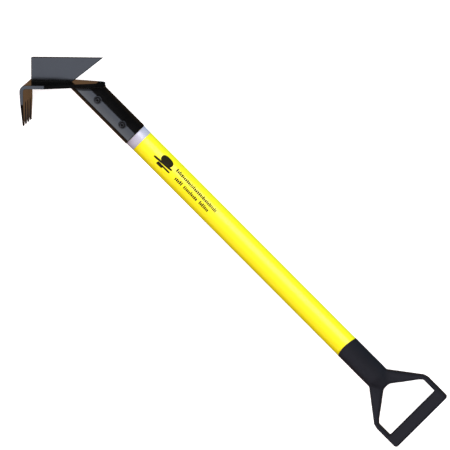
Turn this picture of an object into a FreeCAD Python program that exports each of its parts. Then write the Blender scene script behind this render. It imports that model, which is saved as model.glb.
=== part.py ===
import FreeCAD, Part
import math
import os

import Sketcher

# Two-ended fire and demolition hook: a toothed steel plate with an upright fin blade, welded on a
# tube socket that is bolted to a round foam-cored fibreglass pole with a D-shaped hand grip.
#
# Tool frame: the pole's axis is the X axis, with the head towards +X and the socket's mouth at
# x = 0. The flat plane of the tool is XY, with the teeth towards +Y. At the end every sub-part is
# shifted so that the tool lies on its side on Z = 0, with the origin under its middle.

DIMENSIONS = [
    # alias, millimetres or degrees, what it is
    ("plate_thickness", 6.35, "bent plate and fin blade stock"),
    ("plate_width", 123.2, "across the teeth"),
    ("plate_parallel_length", 42.3, "from the teeth's outer face to the start of the taper"),
    ("plate_length", 139.9, "from the teeth's outer face to the nose"),
    ("nose_width", 25.8, "plate's width at the nose before its corners are rounded"),
    ("nose_corner_radius", 19.0, "in plan"),
    ("bend_inner_radius", 4.0, "inside the bend between plate and teeth"),
    ("tooth_drop", 70.8, "from the plate's top to the tooth points"),
    ("tooth_pitch", 30.1, "from point to point"),
    ("tooth_root_drop", 30.0, "from the plate's top to the bottom of a gap"),
    ("tooth_shoulder_drop", 33.5, "where the teeth's sides start to draw in"),
    ("tooth_gap_width", 9.0, "gap between two teeth at the shoulders"),
    ("tooth_point_width", 8.0, "flat left at a tooth's point"),
    ("tooth_taper_drop", 14.0, "where the teeth start to thin"),
    ("tooth_point_thickness", 2.4, "at the point"),
    ("blade_start", 12.5, "from the teeth's outer face to the blade's front edge"),
    ("blade_foot_end", 82.2, "where the slanted edge meets the plate"),
    ("blade_tip", 137.1, "from the teeth's outer face to the blade's pick"),
    ("blade_height", 42.8, "above the plate's top"),
    ("blade_corner_radius", 2.0, "front top corner"),
    ("blade_weld_leg", 3.0, "fillet weld on each side of the blade's foot"),
    ("socket_weld_leg", 3.0, "fillet weld round the socket"),
    ("socket_weld_toe", 0.4, "what is left of it where it dies away on the tube"),
    ("pole_angle", 44.8, "between the pole's axis and the plate"),
    ("socket_reach", 117.5, "from the mouth to the plate's underside, on the axis"),
    ("socket_foot", 108.0, "from the teeth's outer face to the axis, on the plate's underside"),
    ("socket_outer_diameter", 44.45, "1 3/4 in tube"),
    ("socket_wall", 3.05, "0.120 in wall"),
    ("lower_bolt_position", 27.3, "from the mouth"),
    ("upper_bolt_position", 86.9, "from the mouth"),
    ("bolt_diameter", 6.35, "1/4 in button head screw"),
    ("bolt_hole_diameter", 6.75, "clearance hole"),
    ("bolt_length", 57.15, "under the head, 2 1/4 in"),
    ("bolt_head_diameter", 11.1, "button head"),
    ("bolt_head_height", 3.35, "button head"),
    ("bolt_head_round", 2.6, "rounding of the head's rim"),
    ("bolt_drive_across_flats", 3.97, "5/32 in hexagon drive"),
    ("bolt_drive_depth", 2.2, "hexagon drive"),
    ("washer_diameter", 14.3, "flat washer"),
    ("washer_bore", 6.75, "flat washer"),
    ("washer_thickness", 1.6, "flat washer"),
    ("nut_across_flats", 11.1, "lock nut"),
    ("nut_hex_height", 5.6, "lock nut's hexagon"),
    ("nut_height", 7.9, "lock nut with its collar"),
    ("nut_collar_diameter", 10.2, "lock nut's round collar"),
    ("insert_diameter", 8.9, "nylon ring held in the collar"),
    ("insert_height", 2.0, "nylon ring held in the collar"),
    ("core_outer_diameter", 38.1, "1 1/2 in fibreglass tube"),
    ("core_inner_diameter", 31.75, "1 1/4 in bore"),
    ("core_depth_in_socket", 98.0, "the tube stops short of the plate"),
    ("core_depth_in_grip", 69.5, "the tube stops short of the blind end"),
    ("core_fit", 0.1, "foam and plugs are this much smaller than the bore"),
    ("head_plug_length", 112.0, "hardwood dowel that the bolts clamp"),
    ("grip_plug_length", 50.0, "hardwood dowel that the grip screw bites"),
    ("jacket_diameter", 42.4, "bright outer jacket of the pole"),
    ("jacket_length", 512.0, "from the socket's mouth to the grip's rim"),
    ("band_length", 16.0, "reflective band beside the mouth"),
    ("band_thickness", 0.4, "reflective band, set flush in the jacket"),
    ("grip_length", 182.4, "rim to the end of the bar"),
    ("grip_width", 125.0, "across the side arms"),
    ("grip_thickness", 22.0, "arms and bar"),
    ("grip_edge_round", 3.0, "rounding along the arms and bar"),
    ("collar_diameter", 43.0, "round collar"),
    ("collar_length", 74.0, "round collar"),
    ("rim_bulge", 3.6, "the collar's rim runs on this far over the jacket, front and back"),
    ("rim_radius", 65.0, "of the rim's curve, seen square to the tool's flat"),
    ("collar_bore", 38.2, "for the fibreglass tube"),
    ("collar_bore_depth", 70.0, "blind"),
    ("collar_nose_position", 104.0, "where the round body has died away in the yoke"),
    ("collar_nose_diameter", 18.0, "round body's small end, hidden in the yoke"),
    ("yoke_root", 66.0, "rim to the yoke's start, inside the collar"),
    ("yoke_root_half_width", 13.4, "half width there"),
    ("yoke_shoulder", 126.3, "rim to the yoke's outer corner"),
    ("yoke_shoulder_half_width", 60.0, "half width at the outer corner"),
    ("side_start", 135.0, "rim to the straight outer side"),
    ("side_end", 179.0, "rim to the bar's corner"),
    ("opening_apex", 95.7, "rim to the hand opening"),
    ("opening_apex_half_width", 7.0, "half width of the opening's blunt apex"),
    ("opening_shoulder", 125.8, "rim to the opening's inner corner"),
    ("opening_shoulder_half_width", 48.6, "half width at the inner corner"),
    ("opening_side_start", 132.0, "rim to the straight inner side"),
    ("opening_half_width", 55.0, "half width between the side arms"),
    ("opening_end", 158.7, "rim to the bar's inner face"),
    ("grip_screw_position", 32.0, "rim to the screw's axis"),
    ("grip_screw_diameter", 4.8, "pan head screw"),
    ("grip_screw_hole", 5.0, "hole through collar and tube"),
    ("grip_screw_length", 19.0, "under the head"),
    ("grip_screw_head_diameter", 9.4, "pan head"),
    ("grip_screw_head_height", 2.8, "pan head"),
    ("grip_screw_head_round", 1.6, "rounding of the head's rim"),
    ("overshoot", 1.0, "cutting outlines run on this far past the stock"),
]

SHEET = "Dimensions"
THROUGH = 400.0                 # longer than any cut needs
NEAR = 1e-3                     # two places or volumes closer than this are the same
STRAIGHT = 1e-4                 # an edge that spans less than this across runs straight
X_AXIS = FreeCAD.Vector(1, 0, 0)
Y_AXIS = FreeCAD.Vector(0, 1, 0)
Z_AXIS = FreeCAD.Vector(0, 0, 1)

doc = FreeCAD.newDocument("FireHook")
sheet = doc.addObject("Spreadsheet::Sheet", SHEET)
for row, (alias, value, meaning) in enumerate(DIMENSIONS, start=1):
    sheet.set(f"A{row}", meaning)
    sheet.set(f"B{row}", str(value))
    sheet.setAlias(f"B{row}", alias)
doc.recompute()


def size(alias):
    """A driving dimension as a number."""
    return float(sheet.get(alias))


def bind(thing, target, expression):
    """Bind a property to an expression in which @ stands for the sheet."""
    thing.setExpression(target, expression.replace("@", SHEET + "."))


def work_out(expression):
    """The number that such an expression gives now."""
    result = sheet.evalExpression(expression.replace("@", SHEET + "."))
    return float(getattr(result, "Value", result))


# ---------------------------------------------------------------- sketches and features

def new_body(label):
    body = doc.addObject("PartDesign::Body", label)
    body.Label = label
    return body


def origin_feature(body, role):
    for feature in body.Origin.OriginFeatures:
        if feature.Role == role:
            return feature
    raise ValueError(role)


def new_sketch(body, name, plane):
    sketch = body.newObject("Sketcher::SketchObject", name)
    sketch.AttachmentSupport = (origin_feature(body, plane), [""])
    sketch.MapMode = "FlatFace"
    return sketch


def pin_point(sketch, geometry, end, place):
    """Hold one end of a line or arc, or a centre, at two bound distances from the origin."""
    for kind, expression in zip(("DistanceX", "DistanceY"), place):
        index = sketch.addConstraint(
            Sketcher.Constraint(kind, -1, 1, geometry, end, work_out(expression)))
        bind(sketch, f"Constraints[{index}]", expression)


def add_polygon(sketch, corners):
    """A closed outline through corners, each a pair of expressions."""
    points = [FreeCAD.Vector(work_out(x), work_out(y), 0) for x, y in corners]
    first = sketch.GeometryCount
    for start, end in zip(points, points[1:] + points[:1]):
        sketch.addGeometry(Part.LineSegment(start, end))
    for step, corner in enumerate(corners):
        line = first + step
        following = first + (step + 1) % len(corners)
        sketch.addConstraint(Sketcher.Constraint("Coincident", line, 2, following, 1))
        pin_point(sketch, line, 1, corner)


def add_circle(sketch, centre, diameter):
    place = FreeCAD.Vector(work_out(centre[0]), work_out(centre[1]), 0)
    circle = sketch.addGeometry(Part.Circle(place, Z_AXIS, work_out(diameter) / 2))
    pin_point(sketch, circle, 3, centre)
    index = sketch.addConstraint(Sketcher.Constraint("Diameter", circle, work_out(diameter)))
    bind(sketch, f"Constraints[{index}]", diameter)


def mirrored(corners):
    """Half an outline, given from one end to the other, closed by its mirror image in x."""
    return corners + [(x, f"-({y})") for x, y in reversed(corners)]


def pad(body, sketch, length, midplane=False):
    feature = body.newObject("PartDesign::Pad", sketch.Name + "_pad")
    feature.Profile = sketch
    feature.Midplane = midplane
    bind(feature, "Length", length)
    return feature


def cut(body, sketch, length=None, both_ways=False, forwards=False):
    """Cut against the sketch's normal, along it if forwards, or both ways, and make sure that
    something went. Without a length the cut goes right through."""
    doc.recompute()
    before = body.Shape.Volume
    feature = body.newObject("PartDesign::Pocket", sketch.Name + "_cut")
    feature.Profile = sketch
    feature.Midplane = both_ways
    feature.Reversed = forwards
    if length:
        bind(feature, "Length", length)
    else:
        feature.Length = THROUGH
    check_removed(body, before, sketch.Name)
    return feature


def check_removed(body, before, name):
    doc.recompute()
    if not body.Shape.Volume < before - NEAR:
        raise ValueError(name + " cuts nothing")


def fillet(body, radius, wanted):
    """Round the edges of the body so far that wanted(edge) picks."""
    doc.recompute()
    base = body.Tip
    names = [f"Edge{number}" for number, edge in enumerate(base.Shape.Edges, start=1)
             if wanted(edge)]
    if not names:
        raise ValueError(body.Label + " has no such edge")
    feature = body.newObject("PartDesign::Fillet", f"{body.Name}_fillet_{len(body.Group)}")
    feature.Base = (base, names)
    bind(feature, "Radius", radius)
    return feature


def along(edge, axis, *places):
    """Whether the edge is straight along axis (0, 1 or 2) and passes through one of the places,
    each a tuple of three numbers of which those that are None don't matter."""
    box = edge.BoundBox
    low = (box.XMin, box.YMin, box.ZMin)
    high = (box.XMax, box.YMax, box.ZMax)
    spans = [top - bottom for bottom, top in zip(low, high)]
    if any(span > STRAIGHT for number, span in enumerate(spans) if number != axis):
        return False
    return any(all(want is None or abs(low[number] - want) < NEAR
                   for number, want in enumerate(place)) for place in places)


def ring_body(label, outer, inner, length):
    """A tube, washer or ring that stands on XY round the Z axis."""
    body = new_body(label)
    sketch = new_sketch(body, label + "_section", "XY_Plane")
    add_circle(sketch, ("0", "0"), outer)
    if inner:
        add_circle(sketch, ("0", "0"), inner)
    pad(body, sketch, length)
    return body


def drill_across(body, name, places, diameter):
    """Holes along the body's own X axis, at the given heights on its Z axis."""
    sketch = new_sketch(body, name, "YZ_Plane")
    for place in places:
        add_circle(sketch, ("0", place), diameter)
    cut(body, sketch, both_ways=True)


# ---------------------------------------------------------------- places in the tool frame

def on_axis(start):
    """A body made round its Z axis lies along the pole, from x = start towards the head."""
    return FreeCAD.Placement(FreeCAD.Vector(start, 0, 0), FreeCAD.Rotation(Y_AXIS, 90))


def across(position, height, towards_viewer=True):
    """A body made round its Z axis stands across the pole at x = position, at z = height."""
    turn = 0 if towards_viewer else 180
    return FreeCAD.Placement(FreeCAD.Vector(position, 0, height), FreeCAD.Rotation(X_AXIS, turn))


def plate_placement():
    """Plate coordinates: x from the teeth's outer face towards the nose, y up from the plate's
    top, z across its width. The pole's axis meets the underside at socket_foot."""
    turn = FreeCAD.Rotation(Z_AXIS, -180 + size("pole_angle"))
    foot = FreeCAD.Vector(size("socket_foot"), -size("plate_thickness"), 0)
    place = FreeCAD.Vector(size("socket_reach"), 0, 0) - turn.multVec(foot)
    return FreeCAD.Placement(place, turn)


def grip_placement():
    """Grip coordinates: x from the collar's rim towards the bar, y across the grip."""
    return FreeCAD.Placement(FreeCAD.Vector(-size("jacket_length"), 0, 0),
                             FreeCAD.Rotation(Z_AXIS, 180))


# ---------------------------------------------------------------- the head

def tine_plate():
    """Plate bent down into four teeth, tapered in plan to a nose over the socket."""
    body = new_body("tine_plate")
    profile = new_sketch(body, "plate_profile", "XY_Plane")
    add_polygon(profile, [
        ("0", "0"),
        ("@plate_length", "0"),
        ("@plate_length", "-@plate_thickness"),
        ("@plate_thickness", "-@plate_thickness"),
        ("@plate_thickness", "-@tooth_drop"),
        ("@plate_thickness - @tooth_point_thickness", "-@tooth_drop"),
        ("0", "-@tooth_taper_drop"),
    ])
    pad(body, profile, "@plate_width", midplane=True)
    thickness = size("plate_thickness")
    fillet(body, "@bend_inner_radius", lambda edge: along(edge, 2, (thickness, -thickness, None)))
    fillet(body, "@bend_inner_radius + @plate_thickness",
           lambda edge: along(edge, 2, (0, 0, None)))

    taper = new_sketch(body, "plate_taper", "XZ_Plane")
    for side in ("", "-"):
        beyond = side + "(@plate_width / 2 + @overshoot)"
        add_polygon(taper, [
            ("@plate_parallel_length", side + "@plate_width / 2"),
            ("@plate_length", side + "@nose_width / 2"),
            ("@plate_length + @overshoot", side + "@nose_width / 2"),
            ("@plate_length + @overshoot", beyond),
            ("@plate_parallel_length", beyond),
        ])
    cut(body, taper, both_ways=True)
    nose = size("plate_length")
    half = size("nose_width") / 2
    fillet(body, "@nose_corner_radius",
           lambda edge: along(edge, 1, (nose, None, half), (nose, None, -half)))

    gap = new_sketch(body, "tooth_gap", "YZ_Plane")
    middle = "-@tooth_pitch"
    add_polygon(gap, [
        ("-@tooth_root_drop", middle),
        ("-@tooth_shoulder_drop", middle + " + @tooth_gap_width / 2"),
        ("-@tooth_drop", middle + " + (@tooth_pitch - @tooth_point_width) / 2"),
        ("-@tooth_drop - @overshoot", middle + " + (@tooth_pitch - @tooth_point_width) / 2"),
        ("-@tooth_drop - @overshoot", middle + " - (@tooth_pitch - @tooth_point_width) / 2"),
        ("-@tooth_drop", middle + " - (@tooth_pitch - @tooth_point_width) / 2"),
        ("-@tooth_shoulder_drop", middle + " - @tooth_gap_width / 2"),
    ])
    first_gap = cut(body, gap, both_ways=True)
    gaps = body.newObject("PartDesign::LinearPattern", "tooth_gaps")
    gaps.Originals = [first_gap]
    gaps.Direction = (origin_feature(body, "Z_Axis"), [""])
    gaps.Occurrences = 3
    bind(gaps, "Length", "2 * @tooth_pitch")
    body.Tip = gaps
    corners = new_sketch(body, "outer_tooth_corners", "YZ_Plane")
    for side in ("", "-"):
        point = side + "(@plate_width / 2 - (@tooth_pitch - @tooth_point_width) / 2)"
        edge = side + "(@plate_width / 2 + @overshoot)"
        add_polygon(corners, [
            ("-@tooth_shoulder_drop", side + "@plate_width / 2"),
            ("-@tooth_drop", point),
            ("-@tooth_drop - @overshoot", point),
            ("-@tooth_drop - @overshoot", edge),
            ("-@tooth_shoulder_drop", edge),
        ])
    cut(body, corners, both_ways=True)
    return body


def fin_blade():
    """Upright blade on the plate's centre line, with a pick at its rear top."""
    body = new_body("fin_blade")
    outline = new_sketch(body, "blade_outline", "XY_Plane")
    add_polygon(outline, [
        ("@blade_start", "0"),
        ("@blade_foot_end", "0"),
        ("@blade_tip", "@blade_height"),
        ("@blade_start", "@blade_height"),
    ])
    pad(body, outline, "@plate_thickness", midplane=True)
    corner = (size("blade_start"), size("blade_height"), None)
    fillet(body, "@blade_corner_radius", lambda edge: along(edge, 2, corner))
    return body


def blade_weld(label, side):
    """Convex fillet weld along one side of the blade's foot; side is 1 or -1."""
    body = new_body(label)
    sketch = new_sketch(body, label + "_section", "YZ_Plane")
    leg = size("blade_weld_leg")
    face = side * size("plate_thickness") / 2
    corner = FreeCAD.Vector(0, face, 0)
    toe = FreeCAD.Vector(0, face + side * leg, 0)
    crown = FreeCAD.Vector(leg, face, 0)
    sketch.addGeometry(Part.LineSegment(crown, corner))
    sketch.addGeometry(Part.LineSegment(corner, toe))
    begin = 0 if side > 0 else -math.pi / 2
    arc = sketch.addGeometry(Part.ArcOfCircle(Part.Circle(corner, Z_AXIS, leg),
                                              begin, begin + math.pi / 2))
    crown_end, toe_end = (1, 2) if side > 0 else (2, 1)
    sketch.addConstraint(Sketcher.Constraint("Coincident", 0, 2, 1, 1))
    sketch.addConstraint(Sketcher.Constraint("Coincident", 1, 2, arc, toe_end))
    sketch.addConstraint(Sketcher.Constraint("Coincident", 0, 1, arc, crown_end))
    pin_point(sketch, arc, 3, ("0", f"{side} * @plate_thickness / 2"))
    pin_point(sketch, 0, 2, ("0", f"{side} * @plate_thickness / 2"))
    sketch.addConstraint(Sketcher.Constraint("Horizontal", 0))
    sketch.addConstraint(Sketcher.Constraint("Vertical", 1))
    radius = sketch.addConstraint(Sketcher.Constraint("Radius", arc, leg))
    bind(sketch, f"Constraints[{radius}]", "@blade_weld_leg")
    bind(sketch, "AttachmentOffset.Base.z", "@blade_start")
    pad(body, sketch, "@blade_foot_end - @blade_start")
    return body


def socket_tube():
    """Tube socket, square at the mouth and cut to the slope of the plate's underside."""
    body = ring_body("socket_tube", "@socket_outer_diameter",
                     "@socket_outer_diameter - 2 * @socket_wall",
                     "@socket_reach + @socket_outer_diameter")
    slope = new_sketch(body, "socket_slope", "YZ_Plane")
    wide = "@socket_outer_diameter"
    rise = "@socket_outer_diameter / tan(@pole_angle)"
    add_polygon(slope, [
        ("-" + wide, "@socket_reach - " + rise),
        (wide, "@socket_reach + " + rise),
        (wide, "@socket_reach + 2 * @socket_outer_diameter"),
        ("-" + wide, "@socket_reach + 2 * @socket_outer_diameter"),
    ])
    cut(body, slope, both_ways=True)
    drill_across(body, "socket_bolt_holes", ["@lower_bolt_position", "@upper_bolt_position"],
                 "@bolt_hole_diameter")
    return body


def socket_weld():
    """Fillet weld where the socket meets the plate's underside, stopped flush at the plate's nose, in
    plate coordinates."""
    leg = size("socket_weld_leg")
    radius = size("socket_outer_diameter") / 2
    slope = math.radians(size("pole_angle"))
    stretch = 1 / math.sin(slope)
    foot = FreeCAD.Vector(size("socket_foot"), -size("plate_thickness"), 0)
    down_the_pole = FreeCAD.Vector(math.cos(slope), -math.sin(slope), 0)

    def oval(drop, growth):
        centre = foot + down_the_pole * (drop * stretch)
        curve = Part.Ellipse(centre + X_AXIS * (radius * stretch + growth),
                             centre + Z_AXIS * (radius + growth), centre)
        return Part.Wire([curve.toShape()])

    skirt = Part.makeLoft([oval(0, leg), oval(leg, size("socket_weld_toe"))], True, True)
    tube_space = Part.makeCylinder(radius, THROUGH, foot - down_the_pole * THROUGH / 2, down_the_pole)
    beyond_nose = Part.makeBox(THROUGH, THROUGH, THROUGH, FreeCAD.Vector(
        size("plate_length"), -THROUGH / 2, -THROUGH / 2))
    weld = doc.addObject("Part::Feature", "socket_weld")
    weld.Label = "socket_weld"
    weld.Shape = skirt.cut(tube_space).cut(beyond_nose)
    return weld


# ---------------------------------------------------------------- socket fasteners

def bolt(label):
    """Button head screw; its head sits on z = 0 and its shank hangs below."""
    body = new_body(label)
    shank = new_sketch(body, label + "_shank", "XY_Plane")
    add_circle(shank, ("0", "0"), "@bolt_diameter")
    pad(body, shank, "@bolt_length").Reversed = True
    head = new_sketch(body, label + "_head", "XY_Plane")
    add_circle(head, ("0", "0"), "@bolt_head_diameter")
    pad(body, head, "@bolt_head_height")
    top = size("bolt_head_height")
    rim = size("bolt_head_diameter") / 2
    fillet(body, "@bolt_head_round",
           lambda edge: edge.BoundBox.ZMin > top - NEAR and edge.BoundBox.XMax > rim - NEAR)
    drive = new_sketch(body, label + "_drive", "XY_Plane")
    bind(drive, "AttachmentOffset.Base.z", "@bolt_head_height")
    corner = "@bolt_drive_across_flats / sqrt(3)"
    add_polygon(drive, [(f"{corner} * cos({60 * turn})", f"{corner} * sin({60 * turn})")
                        for turn in range(6)])
    cut(body, drive, "@bolt_drive_depth")
    return body


def washer(label):
    return ring_body(label, "@washer_diameter", "@washer_bore", "@washer_thickness")


def primitive(kind, name, **bindings):
    thing = doc.addObject(kind, name)
    for target, expression in bindings.items():
        bind(thing, target, expression)
    return thing


def lock_nut(label):
    """Hexagon nut with a round collar, hollowed for the screw and for its nylon ring."""
    hexagon = primitive("Part::Prism", label + "_hexagon", Height="@nut_hex_height",
                        Circumradius="@nut_across_flats / sqrt(3)")
    collar = primitive("Part::Cylinder", label + "_collar", Height="@nut_height",
                       Radius="@nut_collar_diameter / 2")
    outside = doc.addObject("Part::Fuse", label + "_outside")
    outside.Base = hexagon
    outside.Tool = collar
    bore = primitive("Part::Cylinder", label + "_bore", Height="@nut_height",
                     Radius="@bolt_diameter / 2")
    seat = primitive("Part::Cylinder", label + "_seat", Height="@insert_height",
                     Radius="@insert_diameter / 2")
    bind(seat, "Placement.Base.z", "@nut_height - @insert_height")
    inside = doc.addObject("Part::Fuse", label + "_inside")
    inside.Base = bore
    inside.Tool = seat
    nut = doc.addObject("Part::Cut", label)
    nut.Label = label
    nut.Base = outside
    nut.Tool = inside
    return nut


# ---------------------------------------------------------------- the pole

def pole_core():
    """Fibreglass tube, from inside the socket to inside the grip's collar."""
    body = ring_body("pole_core", "@core_outer_diameter", "@core_inner_diameter",
                     "@core_depth_in_grip + @jacket_length + @core_depth_in_socket")
    base = "@core_depth_in_grip + @jacket_length"
    drill_across(body, "core_bolt_holes",
                 [base + " + @lower_bolt_position", base + " + @upper_bolt_position"],
                 "@bolt_hole_diameter")
    screw = new_sketch(body, "core_screw_hole", "YZ_Plane")
    add_circle(screw, ("0", "@core_depth_in_grip - @grip_screw_position"), "@grip_screw_hole")
    cut(body, screw, forwards=True)
    return body


def head_plug():
    """Hardwood dowel inside the tube, drilled for the two bolts."""
    body = ring_body("head_plug", "@core_inner_diameter - @core_fit", None, "@head_plug_length")
    base = "@head_plug_length - @core_depth_in_socket"
    drill_across(body, "plug_bolt_holes",
                 [base + " + @lower_bolt_position", base + " + @upper_bolt_position"],
                 "@bolt_hole_diameter")
    return body


def grip_plug():
    """Hardwood dowel inside the tube's other end, with the screw's pilot hole."""
    body = ring_body("grip_plug", "@core_inner_diameter - @core_fit", None, "@grip_plug_length")
    pilot = new_sketch(body, "plug_pilot", "YZ_Plane")
    add_circle(pilot, ("0", "@core_depth_in_grip - @grip_screw_position"), "@grip_screw_diameter")
    inner_end = "@collar_diameter / 2 - @grip_screw_length"
    bind(pilot, "AttachmentOffset.Base.z", inner_end)
    cut(body, pilot, forwards=True)
    return body


def foam_core():
    """Stiff foam that fills the tube between the two plugs."""
    return ring_body("foam_core", "@core_inner_diameter - @core_fit", None,
                     "@core_depth_in_grip + @jacket_length + @core_depth_in_socket"
                     " - @head_plug_length - @grip_plug_length")


def pole_jacket():
    """Bright jacket over the tube, turned down at one end to take the reflective band."""
    body = ring_body("pole_jacket", "@jacket_diameter", "@core_outer_diameter", "@jacket_length")
    seat = new_sketch(body, "band_seat", "XZ_Plane")
    add_polygon(seat, [
        ("@jacket_diameter / 2 - @band_thickness", "@jacket_length + @overshoot"),
        ("@jacket_diameter / 2 + @overshoot", "@jacket_length + @overshoot"),
        ("@jacket_diameter / 2 + @overshoot", "@jacket_length - @band_length"),
        ("@jacket_diameter / 2 - @band_thickness", "@jacket_length - @band_length"),
    ])
    doc.recompute()
    before = body.Shape.Volume
    groove = body.newObject("PartDesign::Groove", "band_seat_groove")
    groove.Profile = seat
    groove.ReferenceAxis = (seat, ["V_Axis"])
    groove.Angle = 360
    check_removed(body, before, "band_seat")
    return body


def reflective_band():
    return ring_body("reflective_band", "@jacket_diameter",
                     "@jacket_diameter - 2 * @band_thickness", "@band_length")


# ---------------------------------------------------------------- the grip

def rim_curve(body):
    """What is cut off the thin rim, so that it bulges front and back and dies away at the sides."""
    sketch = new_sketch(body, "rim_curve", "XY_Plane")
    radius = size("rim_radius")
    centre = FreeCAD.Vector(radius - size("rim_bulge"), 0, 0)
    half = size("collar_diameter") / 2 + size("overshoot")
    outer_end = -size("rim_bulge") - size("overshoot")
    end_angle = math.asin(half / radius)
    arc = sketch.addGeometry(Part.ArcOfCircle(Part.Circle(centre, Z_AXIS, radius),
                                              math.pi - end_angle, math.pi + end_angle))
    side_end = FreeCAD.Vector(centre.x - radius * math.cos(end_angle), half, 0)
    corners = [(side_end.x, half), (outer_end, half), (outer_end, -half), (side_end.x, -half)]
    points = [FreeCAD.Vector(x, y, 0) for x, y in corners]
    for start, end in zip(points, points[1:]):
        sketch.addGeometry(Part.LineSegment(start, end))
    for first, second in ((1, 2), (2, 3)):
        sketch.addConstraint(Sketcher.Constraint("Coincident", first, 2, second, 1))
    sketch.addConstraint(Sketcher.Constraint("Coincident", arc, 1, 1, 1))
    sketch.addConstraint(Sketcher.Constraint("Coincident", arc, 2, 3, 2))
    sketch.addConstraint(Sketcher.Constraint("Horizontal", 1))
    sketch.addConstraint(Sketcher.Constraint("Horizontal", 3))
    pin_point(sketch, arc, 3, ("@rim_radius - @rim_bulge", "0"))
    pin_point(sketch, 1, 2, ("-@rim_bulge - @overshoot", "@collar_diameter / 2 + @overshoot"))
    pin_point(sketch, 2, 2, ("-@rim_bulge - @overshoot", "-@collar_diameter / 2 - @overshoot"))
    index = sketch.addConstraint(Sketcher.Constraint("Radius", arc, radius))
    bind(sketch, f"Constraints[{index}]", "@rim_radius")
    return sketch


def d_grip():
    """Moulded hand grip: a round collar that spreads into a yoke, two side arms and a bar."""
    body = new_body("d_grip")
    outline = new_sketch(body, "grip_outline", "XY_Plane")
    add_polygon(outline, mirrored([
        ("@yoke_root", "@yoke_root_half_width"),
        ("@yoke_shoulder", "@yoke_shoulder_half_width"),
        ("@side_start", "@grip_width / 2"),
        ("@side_end", "@grip_width / 2"),
        ("@grip_length", "@grip_width / 2 - (@grip_length - @side_end)"),
    ]))
    pad(body, outline, "@grip_thickness", midplane=True)
    opening = new_sketch(body, "hand_opening", "XY_Plane")
    add_polygon(opening, mirrored([
        ("@opening_apex", "@opening_apex_half_width"),
        ("@opening_shoulder", "@opening_shoulder_half_width"),
        ("@opening_side_start", "@opening_half_width"),
        ("@opening_end", "@opening_half_width"),
    ]))
    cut(body, opening, both_ways=True)
    face = size("grip_thickness") / 2
    fillet(body, "@grip_edge_round",
           lambda edge: (edge.BoundBox.ZLength < STRAIGHT
                         and abs(abs(edge.BoundBox.ZMin) - face) < NEAR))

    collar = new_sketch(body, "collar_profile", "XZ_Plane")
    add_polygon(collar, [
        ("0", "@jacket_diameter / 2"),
        ("0", "0"),
        ("@collar_nose_position", "0"),
        ("@collar_nose_position", "@collar_nose_diameter / 2"),
        ("@collar_length", "@collar_diameter / 2"),
        ("-@rim_bulge", "@collar_diameter / 2"),
        ("-@rim_bulge", "@jacket_diameter / 2"),
    ])
    turned = body.newObject("PartDesign::Revolution", "collar_turned")
    turned.Profile = collar
    turned.ReferenceAxis = (collar, ["H_Axis"])
    turned.Angle = 360
    cut(body, rim_curve(body), both_ways=True)
    clear = new_sketch(body, "hand_opening_clear", "XY_Plane")
    add_polygon(clear, mirrored([
        ("@opening_apex", "@opening_apex_half_width"),
        ("@opening_shoulder", "@opening_shoulder_half_width"),
    ]))
    cut(body, clear, both_ways=True)

    bore = new_sketch(body, "collar_bore_section", "YZ_Plane")
    add_circle(bore, ("0", "0"), "@collar_bore")
    cut(body, bore, "@collar_bore_depth", forwards=True)
    screw = new_sketch(body, "grip_screw_hole_section", "XY_Plane")
    add_circle(screw, ("@grip_screw_position", "0"), "@grip_screw_hole")
    cut(body, screw)
    return body


def grip_screw():
    """Pan head screw; its head sits on z = 0 and its shank hangs below."""
    body = new_body("grip_screw")
    shank = new_sketch(body, "grip_screw_shank", "XY_Plane")
    add_circle(shank, ("0", "0"), "@grip_screw_diameter")
    pad(body, shank, "@grip_screw_length").Reversed = True
    head = new_sketch(body, "grip_screw_head", "XY_Plane")
    add_circle(head, ("0", "0"), "@grip_screw_head_diameter")
    pad(body, head, "@grip_screw_head_height")
    top = size("grip_screw_head_height")
    fillet(body, "@grip_screw_head_round", lambda edge: edge.BoundBox.ZMin > top - NEAR)
    return body


# ---------------------------------------------------------------- putting it together

def assemble():
    """Every sub-part at its place in the tool frame."""
    in_plate = plate_placement()
    placed = [
        (tine_plate(), in_plate),
        (fin_blade(), in_plate),
        (blade_weld("blade_weld_near", 1), in_plate),
        (blade_weld("blade_weld_far", -1), in_plate),
        (socket_tube(), on_axis(0)),
        (socket_weld(), in_plate),
    ]

    tube_top = size("socket_outer_diameter") / 2
    seat = tube_top + size("washer_thickness")
    insert_seat = seat + size("nut_height") - size("insert_height")
    for name in ("lower", "upper"):
        position = size(name + "_bolt_position")
        insert = ring_body("nylon_insert_" + name, "@insert_diameter", "@bolt_diameter",
                           "@insert_height")
        placed += [
            (bolt("socket_bolt_" + name), across(position, seat)),
            (washer("head_washer_" + name), across(position, tube_top)),
            (washer("nut_washer_" + name), across(position, -tube_top, False)),
            (lock_nut("lock_nut_" + name), across(position, -seat, False)),
            (insert, across(position, -insert_seat, False)),
        ]

    core_end = -size("jacket_length") - size("core_depth_in_grip")
    screw_place = -size("jacket_length") - size("grip_screw_position")
    placed += [
        (pole_core(), on_axis(core_end)),
        (grip_plug(), on_axis(core_end)),
        (foam_core(), on_axis(core_end + size("grip_plug_length"))),
        (head_plug(), on_axis(size("core_depth_in_socket") - size("head_plug_length"))),
        (pole_jacket(), on_axis(-size("jacket_length"))),
        (reflective_band(), on_axis(-size("band_length"))),
        (d_grip(), grip_placement()),
        (grip_screw(), across(screw_place, -size("collar_diameter") / 2, False)),
    ]
    for part, placement in placed:
        part.Placement = placement
    doc.recompute()
    return [part for part, placement in placed]


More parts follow.
